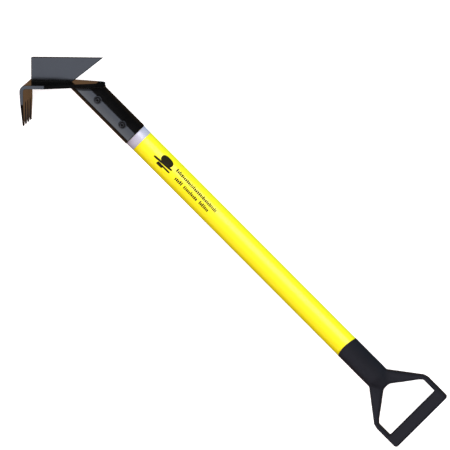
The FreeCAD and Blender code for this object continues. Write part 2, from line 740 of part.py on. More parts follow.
def lay_on_ground(parts):
    """Shift the whole tool so that the origin is under the middle of its box, on Z = 0."""
    box = FreeCAD.BoundBox()
    for part in parts:
        box.add(part.Shape.BoundBox)
    shift = FreeCAD.Vector(-box.Center.x, -box.Center.y, -box.ZMin)
    for part in parts:
        part.Placement = FreeCAD.Placement(shift, FreeCAD.Rotation()) * part.Placement
    doc.recompute()
    print("tool frame origin moved to", shift)
    print("box", box.XLength, box.YLength, box.ZLength)


def check(parts):
    for thing in doc.Objects:
        if "Invalid" in thing.State or "Error" in thing.State:
            raise ValueError(f"{thing.Label} failed: {thing.State}")
    for part in parts:
        if part.Shape.isNull() or not part.Shape.isValid() or len(part.Shape.Solids) != 1:
            raise ValueError(part.Label + " is not one valid solid")


def write(parts):
    os.makedirs("parts", exist_ok=True)
    for part in parts:
        part.Shape.exportStep(os.path.join("parts", part.Label + ".step"))
        print(f"{part.Label:24s} {part.Shape.Volume / 1000:10.2f} cm3")


subparts = assemble()
lay_on_ground(subparts)
check(subparts)
write(subparts)
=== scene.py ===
"""Looks for a two-ended fire and demolition hook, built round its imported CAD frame.

The tool lies on its side on a white floor and is seen from above. All lengths are in metres. The
tool's own frame has its X axis along the pole, towards the head, from the middle of the socket's
mouth; its Z axis is the row's, and the teeth point to +Y.
"""

import math
import random

import bmesh
import bpy
from mathutils import Matrix, Vector, noise


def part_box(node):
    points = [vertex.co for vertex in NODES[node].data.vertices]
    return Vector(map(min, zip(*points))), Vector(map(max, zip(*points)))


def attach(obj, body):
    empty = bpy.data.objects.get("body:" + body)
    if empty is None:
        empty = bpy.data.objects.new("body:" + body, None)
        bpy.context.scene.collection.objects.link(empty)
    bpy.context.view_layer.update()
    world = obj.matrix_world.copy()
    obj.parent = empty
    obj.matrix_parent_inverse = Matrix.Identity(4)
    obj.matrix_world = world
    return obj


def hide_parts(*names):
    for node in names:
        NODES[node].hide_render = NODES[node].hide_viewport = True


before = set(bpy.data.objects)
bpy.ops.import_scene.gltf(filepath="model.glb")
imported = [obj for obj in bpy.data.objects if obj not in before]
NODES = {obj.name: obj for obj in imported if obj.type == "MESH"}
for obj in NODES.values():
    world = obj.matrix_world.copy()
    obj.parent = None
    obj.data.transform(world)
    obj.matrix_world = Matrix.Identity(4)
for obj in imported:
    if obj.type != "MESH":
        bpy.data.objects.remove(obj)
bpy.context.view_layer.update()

MM = 0.001
TURN = 2 * math.pi

jacket_low, jacket_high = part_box("pole_jacket")
MOUTH = Vector((jacket_high.x, (jacket_low.y + jacket_high.y) / 2, (jacket_low.z + jacket_high.z) / 2))
JACKET_RADIUS = (jacket_high.z - jacket_low.z) / 2
JACKET_LENGTH = jacket_high.x - jacket_low.x

# The head, as in the CAD: the plate's slope to the pole, and where the pole's axis meets it.
PLATE_ANGLE = math.radians(44.8)
PLATE_THICKNESS = 6.35 * MM
PLATE_LENGTH = 139.9 * MM
SOCKET_RADIUS = (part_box("socket_tube")[1].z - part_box("socket_tube")[0].z) / 2
SOCKET_WALL = 3.05 * MM
SOCKET_REACH = 117.5 * MM
SOCKET_FOOT = 108.0 * MM
BLADE_START = 12.5 * MM
BLADE_FOOT_END = 82.2 * MM


def in_tool(x, y, z):
    """A point of the tool's own frame, in the row frame."""
    return MOUTH + Vector((x, y, z))


def plate_matrix():
    """Plate coordinates: x from the teeth's outer face to the nose, y up from the top, z across."""
    turn = Matrix.Rotation(math.pi + PLATE_ANGLE, 4, "Z")
    foot = Vector((SOCKET_FOOT, -PLATE_THICKNESS, 0))
    return Matrix.Translation(in_tool(SOCKET_REACH, 0, 0) - turn @ foot) @ turn


def along_pole(x):
    """Local Z runs along the pole towards the head, from x in the tool's frame."""
    return Matrix.Translation(in_tool(x, 0, 0)) @ Matrix.Rotation(math.pi / 2, 4, "Y")


# ---------------------------------------------------------------- materials

class Shading:
    """A tree of shader nodes under construction."""

    def __init__(self, tree):
        self.nodes = tree.nodes
        self.links = tree.links

    def node(self, kind, **settings):
        made = self.nodes.new(kind)
        for name, value in settings.items():
            setattr(made, name, value)
        return made

    def join(self, value, socket):
        """Link a socket to an input, or set the input to a value; a colour has three numbers."""
        if isinstance(value, bpy.types.NodeSocket):
            self.links.new(value, socket)
        elif socket.type == "RGBA":
            socket.default_value = (*value, 1.0)
        else:
            socket.default_value = value

    def feed(self, node, **inputs):
        """Join values to a node's inputs, named with _ for spaces."""
        for name, value in inputs.items():
            self.join(value, node.inputs[name.replace("_", " ")])
        return node

    def maths(self, operation, first, second=0.0, third=0.0):
        made = self.node("ShaderNodeMath", operation=operation)
        for socket, value in zip(made.inputs, (first, second, third)):
            self.join(value, socket)
        return made.outputs[0]

    def dot(self, vector, direction):
        made = self.node("ShaderNodeVectorMath", operation="DOT_PRODUCT")
        self.join(vector, made.inputs[0])
        self.join(direction, made.inputs[1])
        return made.outputs["Value"]

    def spread(self, value, low, high, to_low=0.0, to_high=1.0, shape="LINEAR"):
        """value moved from the range low..high to another one, and held inside it."""
        made = self.node("ShaderNodeMapRange", interpolation_type=shape)
        self.feed(made, Value=value, From_Min=low, From_Max=high, To_Min=to_low, To_Max=to_high)
        return made.outputs[0]

    def blend(self, factor, first, second):
        made = self.node("ShaderNodeMix", data_type="RGBA")
        for number, value in ((0, factor), (6, first), (7, second)):
            self.join(value, made.inputs[number])
        return made.outputs[2]


class Surface(Shading):
    """A material under construction round its Principled shader."""

    def __init__(self, name, **values):
        self.material = bpy.data.materials.new(name)
        self.material.use_nodes = True
        super().__init__(self.material.node_tree)
        self.shader = self.feed(self.nodes["Principled BSDF"], **values)
        self.place = self.node("ShaderNodeTexCoord").outputs["Object"]

    def noise(self, scale, detail=3.0, roughness=0.5, stretch=None):
        """Noise with about scale features a metre, finer or coarser along each axis by stretch."""
        place = self.place
        if stretch:
            mapping = self.node("ShaderNodeMapping")
            place = self.feed(mapping, Vector=self.place, Scale=stretch).outputs["Vector"]
        made = self.node("ShaderNodeTexNoise")
        self.feed(made, Vector=place, Scale=scale, Detail=detail, Roughness=roughness)
        return made.outputs["Fac"]

    def bump(self, height, distance, strength=1.0):
        made = self.node("ShaderNodeBump")
        return self.feed(made, Height=height, Distance=distance, Strength=strength).outputs["Normal"]

    def finish(self, **inputs):
        self.feed(self.shader, **inputs)
        return self.material


def black_steel(name="gloss_black_paint", *fades):
    """Gloss black paint: orange peel, a dull bloom here and there and fine dust. Each fade takes the
    gloss from one share to another between two places on an axis of the plate, 0 along or 1 up."""
    paint = Surface(name, IOR=1.5)
    peel = paint.noise(520, 2, 0.45)
    cloud = paint.noise(28, 4, 0.6)
    dust = paint.spread(paint.noise(2600, 2, 0.7), 0.66, 0.78)
    colour = paint.blend(cloud, (0.0022, 0.0022, 0.0025), (0.0046, 0.0044, 0.0042))
    colour = paint.blend(paint.maths("MULTIPLY", dust, 0.2), colour, (0.05, 0.048, 0.045))
    rough = paint.spread(cloud, 0.3, 0.7, 0.10, 0.19)
    gloss = 0.5
    ragged = paint.maths("SUBTRACT", paint.noise(160, 3, 0.6), 0.5)
    for axis, low, high, share_low, share_high in fades:
        line = plate_matrix().inverted()[axis]
        place = paint.maths("ADD", paint.dot(paint.place, line[:3]), line[3])
        place = paint.maths("MULTIPLY_ADD", ragged, high - low, place)
        share = paint.spread(place, low, high, share_low, share_high)
        gloss = paint.maths("MULTIPLY", share, gloss)
    paint.feed(paint.shader, Specular_IOR_Level=gloss)
    return paint.finish(Base_Color=colour, Roughness=rough, Normal=paint.bump(peel, 0.00003, 0.6))


def weld_steel():
    """The same paint over weld metal, a little rougher."""
    paint = Surface("painted_weld", IOR=1.5, Specular_IOR_Level=0.3)
    grain = paint.noise(900, 4, 0.65)
    colour = paint.blend(grain, (0.003, 0.003, 0.003), (0.010, 0.009, 0.008))
    rough = paint.spread(grain, 0.3, 0.7, 0.16, 0.34)
    return paint.finish(Base_Color=colour, Roughness=rough, Normal=paint.bump(grain, 0.00012, 0.7))


def black_fastener():
    """Black oxide with a film of oil."""
    oxide = Surface("black_oxide", IOR=1.5, Metallic=0.25)
    grain = oxide.noise(3000, 3, 0.6)
    cloud = oxide.noise(240, 3, 0.6)
    colour = oxide.blend(cloud, (0.006, 0.006, 0.007), (0.016, 0.016, 0.018))
    rough = oxide.spread(cloud, 0.3, 0.7, 0.2, 0.36)
    return oxide.finish(Base_Color=colour, Roughness=rough, Normal=oxide.bump(grain, 0.00002, 0.6))


def yellow_jacket():
    """Bright gloss yellow with faint long streaks and small scuffs."""
    skin = Surface("bright_yellow", IOR=1.46, Specular_IOR_Level=0.2)
    streak = skin.noise(60, 4, 0.6, (0.12, 1.0, 1.0))
    mottle = skin.noise(260, 3, 0.55)
    colour = skin.blend(streak, (0.93, 0.84, 0.006), (0.97, 0.88, 0.010))
    rough = skin.spread(mottle, 0.3, 0.7, 0.26, 0.36)
    return skin.finish(Base_Color=colour, Roughness=rough, Normal=skin.bump(mottle, 0.00004, 0.5))


CELL = 3.4 * MM                         # from line to line of the sheeting's grid


def reflective_sheet():
    """Silver-white sheeting: a clear face over small prisms in a triangular grid."""
    sheet = Surface("reflective_sheeting", IOR=1.5, Specular_IOR_Level=0.25)
    split = sheet.node("ShaderNodeSeparateXYZ")
    sheet.feed(split, Vector=sheet.node("ShaderNodeTexCoord").outputs["UV"])
    ribs = None
    for turn in (0, 60, 120):
        lean = math.radians(turn)
        along = sheet.maths("MULTIPLY", split.outputs["X"], math.cos(lean))
        place = sheet.maths("MULTIPLY_ADD", split.outputs["Y"], math.sin(lean), along)
        fold = sheet.maths("PINGPONG", sheet.maths("MULTIPLY", place, 1 / CELL), 0.5)
        ribs = sheet.maths("MINIMUM", ribs, fold) if ribs else fold
    wall = sheet.spread(ribs, 0.05, 0.10, 1.0, 0.0)
    mottle = sheet.noise(500, 2, 0.5)
    colour = sheet.blend(mottle, (0.42, 0.41, 0.54), (0.47, 0.46, 0.59))
    colour = sheet.blend(sheet.maths("MULTIPLY", wall, 0.5), colour, (0.62, 0.63, 0.66))
    return sheet.finish(Base_Color=colour, Roughness=0.3, Normal=sheet.bump(wall, 0.00004, 0.6))


def black_grip():
    """Moulded nylon, satin, with a fine spark-eroded grain."""
    plastic = Surface("moulded_black", IOR=1.5, Specular_IOR_Level=0.12)
    grain = plastic.noise(2200, 3, 0.6)
    cloud = plastic.noise(30, 3, 0.5)
    colour = plastic.blend(cloud, (0.0115, 0.0122, 0.0172), (0.0143, 0.0151, 0.0208))
    rough = plastic.spread(cloud, 0.3, 0.7, 0.46, 0.56)
    return plastic.finish(Base_Color=colour, Roughness=rough,
                          Normal=plastic.bump(grain, 0.00006, 0.7))


def ink():
    """Matt black print, worn thin here and there."""
    print_film = Surface("black_print", IOR=1.5, Specular_IOR_Level=0.1)
    wear = print_film.noise(900, 3, 0.6)
    colour = print_film.blend(wear, (0.008, 0.007, 0.004), (0.035, 0.030, 0.010))
    return print_film.finish(Base_Color=colour, Roughness=0.4)


def nylon():
    """The undyed ring of a lock nut."""
    ring = Surface("natural_nylon", IOR=1.53)
    cloud = ring.noise(400, 3, 0.5)
    return ring.finish(Base_Color=ring.blend(cloud, (0.62, 0.60, 0.52), (0.75, 0.73, 0.66)),
                       Roughness=0.45)


def fibreglass():
    """Pultruded tube: long rovings under a clear resin."""
    tube = Surface("fibreglass_tube", IOR=1.5)
    roving = tube.noise(1400, 4, 0.6, (0.02, 1.0, 1.0))
    colour = tube.blend(roving, (0.42, 0.36, 0.16), (0.74, 0.68, 0.42))
    return tube.finish(Base_Color=colour, Roughness=0.35, Normal=tube.bump(roving, 0.00008))


def foam():
    fill = Surface("stiff_foam")
    cells = fill.node("ShaderNodeTexVoronoi")
    fill.feed(cells, Vector=fill.place, Scale=1100.0)
    depth = cells.outputs["Distance"]
    colour = fill.blend(depth, (0.80, 0.74, 0.50), (0.58, 0.50, 0.30))
    return fill.finish(Base_Color=colour, Roughness=0.9, Normal=fill.bump(depth, 0.0004))


def hardwood():
    """Turned dowel: growth rings along the pole."""
    wood = Surface("ash_dowel")
    rings = wood.node("ShaderNodeTexWave", wave_type="RINGS", rings_direction="X")
    wood.feed(rings, Vector=wood.place, Scale=120.0, Distortion=3.0, Detail=3.0)
    pores = wood.noise(2400, 3, 0.6, (0.05, 1.0, 1.0))
    colour = wood.blend(rings.outputs["Fac"], (0.55, 0.36, 0.18), (0.70, 0.52, 0.30))
    return wood.finish(Base_Color=colour, Roughness=0.6, Normal=wood.bump(pores, 0.0001))


MATERIALS = {
    "black_steel": black_steel(),
    "black_fastener": black_fastener(),
    "nylon": nylon(),
    "fibreglass": fibreglass(),
    "foam": foam(),
    "hardwood": hardwood(),
    "yellow_jacket": yellow_jacket(),
    "reflective_sheet": reflective_sheet(),
    "black_grip": black_grip(),
}
WELD_STEEL = weld_steel()
INK = ink()
# Painted shade: the plate's paint reflects half as much towards the teeth's tips and nothing at the nose,
# so they look dark.
PAINTED_SHADE_STEEL = black_steel("black_paint_with_painted_shade", (1, -62 * MM, -34 * MM, 0.5, 1.0),
                         (0, 124 * MM, 127 * MM, 1.0, 0.0))
# The socket's paint keeps only a fifth of its gloss within a few millimetres of the plate's underside, so
# it is darker there.
DULL_BY_PLATE_STEEL = black_steel("black_paint_dull_by_plate", (1, -13 * MM, -11.5 * MM, 1.0, 0.2))


# ---------------------------------------------------------------- mesh work

def new_object(name, work):
    """An object in the scene from a bmesh, with its faces turned outwards and shaded smooth."""
    bmesh.ops.recalc_face_normals(work, faces=work.faces)
    mesh = bpy.data.meshes.new(name)
    work.to_mesh(mesh)
    work.free()
    mesh.shade_smooth()
    made = bpy.data.objects.new(name, mesh)
    bpy.context.scene.collection.objects.link(made)
    return made


def cad_copy(node, name):
    """A clean copy of a CAD node: vertices joined up and every flat face made whole."""
    work = bmesh.new()
    work.from_mesh(NODES[node].data)
    for layer in list(work.loops.layers.uv):
        work.loops.layers.uv.remove(layer)
    bmesh.ops.remove_doubles(work, verts=work.verts, dist=0.001 * MM)
    bmesh.ops.dissolve_limit(work, angle_limit=math.radians(0.2), verts=work.verts, edges=work.edges)
    made = new_object(name, work)
    custom = made.data.attributes.get("custom_normal")
    if custom:
        made.data.attributes.remove(custom)
    return made


def round_edges(piece, width, segments=3):
    """Round the edges between flats, and keep the flats flat. The facets of the CAD's curves meet at
    less than the limit, so they stay as they are."""
    bevel = piece.modifiers.new("edge_round", "BEVEL")
    bevel.width = width
    bevel.segments = segments
    bevel.limit_method = "ANGLE"
    bevel.angle_limit = math.radians(12)
    flats = piece.modifiers.new("flat_faces", "WEIGHTED_NORMAL")
    flats.keep_sharp = True


def apply_modifiers(piece):
    """Make what a piece's modifiers do to it its own mesh."""
    settled = piece.evaluated_get(bpy.context.evaluated_depsgraph_get())
    mesh = bpy.data.meshes.new_from_object(settled)
    piece.modifiers.clear()
    old = piece.data
    piece.data = mesh
    mesh.name = old.name + "_mesh"
    bpy.data.meshes.remove(old)


def turned(name, profile, place, segments=96, capped=True):
    """A surface turned about the local Z axis. profile(angle) gives (radius, height) pairs from one
    end to the other; where it isn't capped the profile is a closed loop round a ring's section. Its
    UV map is the surface unrolled, in metres."""
    work = bmesh.new()
    unrolled = work.loops.layers.uv.new("unrolled")
    rings, heights = [], []
    for step in range(segments):
        angle = TURN * step / segments
        points = profile(angle)
        rings.append([work.verts.new(place @ Vector((r * math.cos(angle), r * math.sin(angle), h)))
                      for r, h in points])
        heights.append([h for r, h in points])
    width = max(r for r, h in points) * TURN / segments
    count = len(rings[0])
    last = count - 1 if capped else count
    for step in range(segments):
        here, beyond = rings[step], rings[(step + 1) % segments]
        for level in range(last):
            above = (level + 1) % count
            face = work.faces.new((here[level], beyond[level], beyond[above], here[above]))
            for loop, (right, row) in zip(face.loops, ((0, level), (1, level), (1, above), (0, above))):
                loop[unrolled].uv = ((step + right) * width, heights[step][row])
    if capped:
        work.faces.new([ring[0] for ring in reversed(rings)])
        work.faces.new([ring[-1] for ring in rings])
    bmesh.ops.remove_doubles(work, verts=work.verts, dist=0.0005 * MM)
    return new_object(name, work)


def arc(centre, radius, begin, end, steps=5):
    """Points of a round corner of a profile, from one angle in degrees to another."""
    points = []
    for step in range(steps + 1):
        angle = math.radians(begin + (end - begin) * step / steps)
        points.append((centre[0] + radius * math.cos(angle), centre[1] + radius * math.sin(angle)))
    return points


def fit_out(piece, slot, *nodes, material=None):
    """What every new piece gets: its body and its material, the slot's unless one is given; the CAD nodes
    it stands for are hidden.
    """
    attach(piece, "root")
    if nodes:
        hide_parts(*nodes)
    piece.data.materials.clear()
    piece.data.materials.append(material or MATERIALS[slot])
    return piece


# ---------------------------------------------------------------- the head

BEAD_STEPS = 8                          # faces across a bead
BEAD_PITCH = 2.3 * MM                   # from ripple to ripple
BEAD_STATION = 0.3 * MM                 # from station to station along a straight bead
BEAD_TURN_STATIONS = 560                # stations of the bead round the socket
BEAD_SUNK = 0.3 * MM                    # how far a bead's root lies inside the plates
BEAD_RUN_OUT = 2.5 * MM                 # where a straight bead dies away at its ends
BLADE_WELD_LEG = 3.0 * MM
SOCKET_WELD_LEG = 3.0 * MM
NOSE_INSET = 0.2 * MM                   # how far the socket's bead stays back from the nose


def head_plates():
    """The CAD's plate and blade with their sheared edges dressed round."""
    # The plate takes the paint with painted shade at the teeth's tips and the nose.
    for node, radius, paint in (("tine_plate", 0.45 * MM, PAINTED_SHADE_STEEL), ("fin_blade", 1.1 * MM, None)):
        plate = cad_copy(node, node + "_dressed")
        round_edges(plate, radius)
        fit_out(plate, "black_steel", node, material=paint)


def bead(name, stations, leg, place):
    """A weld bead that fills the corner between two plates, with the stacked ripples of its runs.

    Each station is (length along the bead, corner, direction along one face, direction along the
    other, share of the full leg); the bead closes on itself if the last station is the first."""
    looped = (stations[0][1] - stations[-1][1]).length < 0.01 * MM
    if looped:
        stations = stations[:-1]
    work = bmesh.new()
    rows = []
    for length, corner, one, other, share in stations:
        uneven = 1 + 0.07 * noise.noise(corner * 90) + 0.03 * noise.noise(corner * 400)
        row = [work.verts.new(place @ (corner - (one + other) * BEAD_SUNK))]
        for step in range(BEAD_STEPS + 1):
            across = step / BEAD_STEPS
            crescent = 0.45 * (1 - (2 * across - 1) ** 2)
            phase = (length / BEAD_PITCH + crescent) % 1.0
            ripple = 0.92 + 0.14 * (1 - phase ** 2) - 0.06 * math.exp(-(phase / 0.12) ** 2)
            reach = leg * share * uneven * (ripple if 0 < step < BEAD_STEPS else 1.0)
            towards = ((1 - across) * one + across * other).normalized()
            row.append(work.verts.new(place @ (corner + towards * reach)))
        rows.append(row)
    for number in range(len(rows) if looped else len(rows) - 1):
        here, beyond = rows[number], rows[(number + 1) % len(rows)]
        for side in range(len(here)):
            following = (side + 1) % len(here)
            work.faces.new((here[side], here[following], beyond[following], beyond[side]))
    if not looped:
        work.faces.new(rows[0])
        work.faces.new(rows[-1])
    return new_object(name, work)


def blade_welds():
    """A bead along each side of the blade's foot, tapering off at both ends."""
    length = BLADE_FOOT_END - BLADE_START
    count = round(length / BEAD_STATION)
    for side, name in ((1, "near"), (-1, "far")):
        stations = []
        for step in range(count + 1):
            done = length * step / count
            to_end = min(done, length - done)
            share = min(1.0, 0.35 + 0.65 * math.sqrt(to_end / BEAD_RUN_OUT))
            corner = Vector((BLADE_START + done, 0, side * PLATE_THICKNESS / 2))
            stations.append((done, corner, Vector((0, 0, side)), Vector((0, 1, 0)), share))
        weld = bead("blade_bead_" + name, stations, BLADE_WELD_LEG, plate_matrix())
        fit_out(weld, "black_steel", "blade_weld_" + name, material=WELD_STEEL)


def socket_weld_bead():
    """Round the oval where the sloping socket meets the plate, pressed flat at the plate's nose."""
    long_radius = SOCKET_RADIUS / math.sin(PLATE_ANGLE)
    foot = Vector((SOCKET_FOOT, -PLATE_THICKNESS, 0))
    down_the_pole = Vector((math.cos(PLATE_ANGLE), -math.sin(PLATE_ANGLE), 0))
    stations, length, last = [], 0.0, None
    for step in range(BEAD_TURN_STATIONS + 1):
        angle = TURN * step / BEAD_TURN_STATIONS
        across, out = math.sin(angle), math.cos(angle)
        corner = foot + Vector((long_radius * out, 0, SOCKET_RADIUS * across))
        outward = Vector((SOCKET_RADIUS * out, 0, long_radius * across)).normalized()
        length += (corner - last).length if last else 0.0
        last = corner
        stations.append((length, corner, outward, down_the_pole, 1.0))
    weld = bead("socket_bead", stations, SOCKET_WELD_LEG, Matrix())
    for vertex in weld.data.vertices:
        vertex.co.x = min(vertex.co.x, PLATE_LENGTH - NOSE_INSET)
    weld.data.transform(plate_matrix())
    fit_out(weld, "black_steel", "socket_weld", material=WELD_STEEL)


def socket():
    """The tube, square and dressed at the mouth, cut to the plate's slope, drilled for the bolts."""
    inner = SOCKET_RADIUS - SOCKET_WALL
    edge = 0.6 * MM
    rings = 30

    def section(angle):
        def slope(radius):
            return SOCKET_REACH + radius * math.sin(angle) / math.tan(PLATE_ANGLE)
        loop = arc((SOCKET_RADIUS - edge, edge), edge, -90, 0, 4)
        loop += [(SOCKET_RADIUS, edge + (slope(SOCKET_RADIUS) - edge) * step / rings)
                 for step in range(1, rings + 1)]
        loop += [(inner, edge + (slope(inner) - edge) * step / rings)
                 for step in range(rings, 0, -1)]
        return loop + arc((inner + edge, edge), edge, 180, 270, 4)

    tube = turned("socket_dressed", section, along_pole(0), segments=120, capped=False)
    for which in PLACES:
        drill(tube, bolt_axis(which), BOLT_HOLE_RADIUS)
    fit_out(tube, "black_steel", "socket_tube", material=DULL_BY_PLATE_STEEL)


# ---------------------------------------------------------------- fasteners

PLACES = ("lower", "upper")
DRILL_LENGTH = 200 * MM
BOLT_HOLE_RADIUS = 3.375 * MM
BOLT_RADIUS = 3.175 * MM
BOLT_LENGTH = 57.15 * MM
THREAD_LENGTH = 11.0 * MM
THREAD_PITCH = 1.27 * MM
THREAD_DEPTH = 0.7 * MM
THREAD_RUN_OUT = 0.6 * MM
BOLT_END_TAPER = 0.9 * MM
HEAD_RADIUS = 5.55 * MM
HEAD_HEIGHT = 3.35 * MM
HEAD_SKIRT = 0.7 * MM                   # the head's straight side under its dome
HEAD_EDGE = 0.2 * MM
DRIVE_HALF_FLATS = 1.985 * MM
DRIVE_LAND = 2.8 * MM
DRIVE_DEPTH = 2.2 * MM
DRIVE_LEAD_IN = 0.15 * MM
DRIVE_POINT = 0.7 * MM                  # the drill's cone below the drive
WASHER_RADIUS = 7.15 * MM
WASHER_BORE = 3.375 * MM
WASHER_THICKNESS = 1.6 * MM
NUT_HALF_FLATS = 5.55 * MM
NUT_HEX_HEIGHT = 5.6 * MM
NUT_HEIGHT = 7.9 * MM
COLLAR_RADIUS = 5.1 * MM
INSERT_RADIUS = 4.45 * MM
INSERT_HEIGHT = 2.0 * MM
NUT_EDGE = 0.5 * MM                     # chamfer of its bore
NUT_CROWN = 0.8 * MM                    # rounding of its collar
POINT_RADIUS = 0.3 * MM                 # at the bottom of a drilled cone or a screw's tip
SCREW_RADIUS = 2.4 * MM
SCREW_LENGTH = 19.0 * MM
PAN_RADIUS = 4.7 * MM
PAN_HEIGHT = 2.8 * MM
PAN_ROUND = 1.6 * MM
GIMLET_LENGTH = 3.0 * MM
RECESS_HALF_WIDTH = 0.55 * MM
RECESS_HALF_LENGTH = 2.3 * MM
RECESS_DEPTH = 1.5 * MM


def bolt_axis(which):
    """Where a socket bolt crosses the tool's middle plane."""
    low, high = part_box("socket_bolt_" + which)
    return Vector(((low.x + high.x) / 2, (low.y + high.y) / 2, MOUTH.z))


def drill(piece, centre, radius):
    """A round hole right through the piece, square to the tool's flat."""
    work = bmesh.new()
    bmesh.ops.create_cone(work, cap_ends=True, segments=48, radius1=radius, radius2=radius,
                          depth=DRILL_LENGTH, matrix=Matrix.Translation(centre))
    carve(piece, new_object("drill", work))


def carve(piece, cutter, operation="DIFFERENCE"):
    """Cut the cutter from the piece, or join it on, and throw the cutter away."""
    change = piece.modifiers.new("carve", "BOOLEAN")
    change.operation = operation
    change.solver = "EXACT"
    change.object = cutter
    bpy.context.view_layer.update()
    apply_modifiers(piece)
    bpy.data.objects.remove(cutter)


def hexagon(angle, half_flats):
    """Radius of a hexagon with a corner at angle 0."""
    return half_flats / math.cos(angle % (math.pi / 3) - math.pi / 6)


def cross(angle, half_width, half_length):
    """Radius of the outline of a cross recess."""
    turn = (angle + math.pi / 4) % (math.pi / 2) - math.pi / 4
    return min(half_length / math.cos(turn), half_width / max(abs(math.sin(turn)), 1e-6))


def upright(axis, height, towards_viewer=True):
    """Local Z stands square to the tool's flat at that height, up or down."""
    place = Matrix.Translation(Vector((axis.x, axis.y, height)))
    return place if towards_viewer else place @ Matrix.Rotation(math.pi, 4, "X")


def button_screw(name, place):
    """Head from z = 0 up, with a hexagon drive; below it the shank and its rolled thread."""
    rings_per_turn = 7
    dome_steps = 8
    thread_rings = round(THREAD_LENGTH / THREAD_PITCH * rings_per_turn)

    def section(angle):
        profile = [(BOLT_RADIUS - BOLT_END_TAPER, -BOLT_LENGTH)]
        for ring in range(1, thread_rings + 1):
            rise = THREAD_LENGTH * ring / thread_rings
            phase = (rise / THREAD_PITCH - angle / TURN) % 1.0
            tooth = 1 - abs(2 * phase - 1)
            point = min(1.0, 0.35 + rise / THREAD_PITCH)
            profile.append((BOLT_RADIUS - THREAD_DEPTH * (1 - tooth * point), rise - BOLT_LENGTH))
        profile += [(BOLT_RADIUS, THREAD_RUN_OUT + THREAD_LENGTH - BOLT_LENGTH), (BOLT_RADIUS, 0)]
        profile += [(HEAD_RADIUS - HEAD_EDGE, 0), (HEAD_RADIUS, HEAD_EDGE), (HEAD_RADIUS, HEAD_SKIRT)]
        for step in range(1, dome_steps + 1):
            lift = math.pi / 2 * step / dome_steps
            profile.append((DRIVE_LAND + (HEAD_RADIUS - DRIVE_LAND) * math.cos(lift),
                            HEAD_SKIRT + (HEAD_HEIGHT - HEAD_SKIRT) * math.sin(lift)))
        mouth = hexagon(angle, DRIVE_HALF_FLATS)
        floor_height = HEAD_HEIGHT - DRIVE_DEPTH
        return profile + [(mouth + 0.8 * DRIVE_LEAD_IN, HEAD_HEIGHT), (mouth, HEAD_HEIGHT - DRIVE_LEAD_IN),
                          (mouth, floor_height), (POINT_RADIUS, floor_height - DRIVE_POINT)]

    return turned(name, section, place, segments=72)


def flat_washer(name, place):
    """Stamped ring with its edges broken, from z = 0 up."""
    edge = 0.3 * MM

    def section(angle):
        return (arc((WASHER_RADIUS - edge, edge), edge, -90, 0, 3)
                + arc((WASHER_RADIUS - edge, WASHER_THICKNESS - edge), edge, 0, 90, 3)
                + arc((WASHER_BORE + edge, WASHER_THICKNESS - edge), edge, 90, 180, 3)
                + arc((WASHER_BORE + edge, edge), edge, 180, 270, 3))

    return turned(name, section, place, segments=72, capped=False)


def locking_nut(name, place):
    """Hexagon with its corners turned off at both ends, and a round collar over the nylon ring."""
    def section(angle):
        side = hexagon(angle, NUT_HALF_FLATS)
        chamfer = (side - NUT_HALF_FLATS) * math.tan(math.radians(30))
        face = NUT_HALF_FLATS - 0.1 * MM
        bore = BOLT_RADIUS
        flank = chamfer + 0.05 * MM
        neck = 0.3 * MM
        return ([(bore + NUT_EDGE, 0), (face, 0), (side, flank), (side, NUT_HEX_HEIGHT - flank),
                 (COLLAR_RADIUS + neck, NUT_HEX_HEIGHT), (COLLAR_RADIUS, NUT_HEX_HEIGHT + neck)]
                + arc((COLLAR_RADIUS - NUT_CROWN, NUT_HEIGHT - NUT_CROWN), NUT_CROWN, 0, 90, 4)
                + [(INSERT_RADIUS, NUT_HEIGHT), (INSERT_RADIUS, NUT_HEIGHT - INSERT_HEIGHT),
                   (bore, NUT_HEIGHT - INSERT_HEIGHT), (bore, NUT_EDGE)])

    return turned(name, section, place, segments=72, capped=False)


def pan_screw(name, place):
    """Head from z = 0 up, with a cross recess; below it a plain shank with a gimlet point."""
    def section(angle):
        recess = cross(angle, RECESS_HALF_WIDTH, RECESS_HALF_LENGTH)
        profile = [(POINT_RADIUS, -SCREW_LENGTH), (SCREW_RADIUS, GIMLET_LENGTH - SCREW_LENGTH),
                   (SCREW_RADIUS, 0), (PAN_RADIUS, 0), (PAN_RADIUS, PAN_HEIGHT - PAN_ROUND)]
        profile += arc((PAN_RADIUS - PAN_ROUND, PAN_HEIGHT - PAN_ROUND), PAN_ROUND, 15, 90, 5)
        return profile + [(recess, PAN_HEIGHT), (recess * 0.7, PAN_HEIGHT - RECESS_DEPTH),
                          (0.2 * MM, PAN_HEIGHT - RECESS_DEPTH - 0.4 * MM)]

    return turned(name, section, place, segments=96)


def fasteners():
    """The two sets through the socket, and the screw in the grip's collar."""
    for which in PLACES:
        axis = bolt_axis(which)
        low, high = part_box("socket_bolt_" + which)
        seat = high.z - HEAD_HEIGHT
        far_seat = 2 * MOUTH.z - seat
        screw = button_screw("bolt_" + which, upright(axis, seat))
        fit_out(screw, "black_fastener", "socket_bolt_" + which)
        near = flat_washer("washer_near_" + which, upright(axis, seat - WASHER_THICKNESS))
        fit_out(near, "black_fastener", "head_washer_" + which)
        far = flat_washer("washer_far_" + which, upright(axis, far_seat))
        fit_out(far, "black_fastener", "nut_washer_" + which)
        nut = locking_nut("nut_" + which, upright(axis, far_seat, False))
        fit_out(nut, "black_fastener", "lock_nut_" + which)
    low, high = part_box("grip_screw")
    axis = Vector(((low.x + high.x) / 2, (low.y + high.y) / 2, 0))
    screw = pan_screw("screw_in_grip", upright(axis, low.z + PAN_HEIGHT, False))
    fit_out(screw, "black_fastener", "grip_screw")


# ---------------------------------------------------------------- the pole

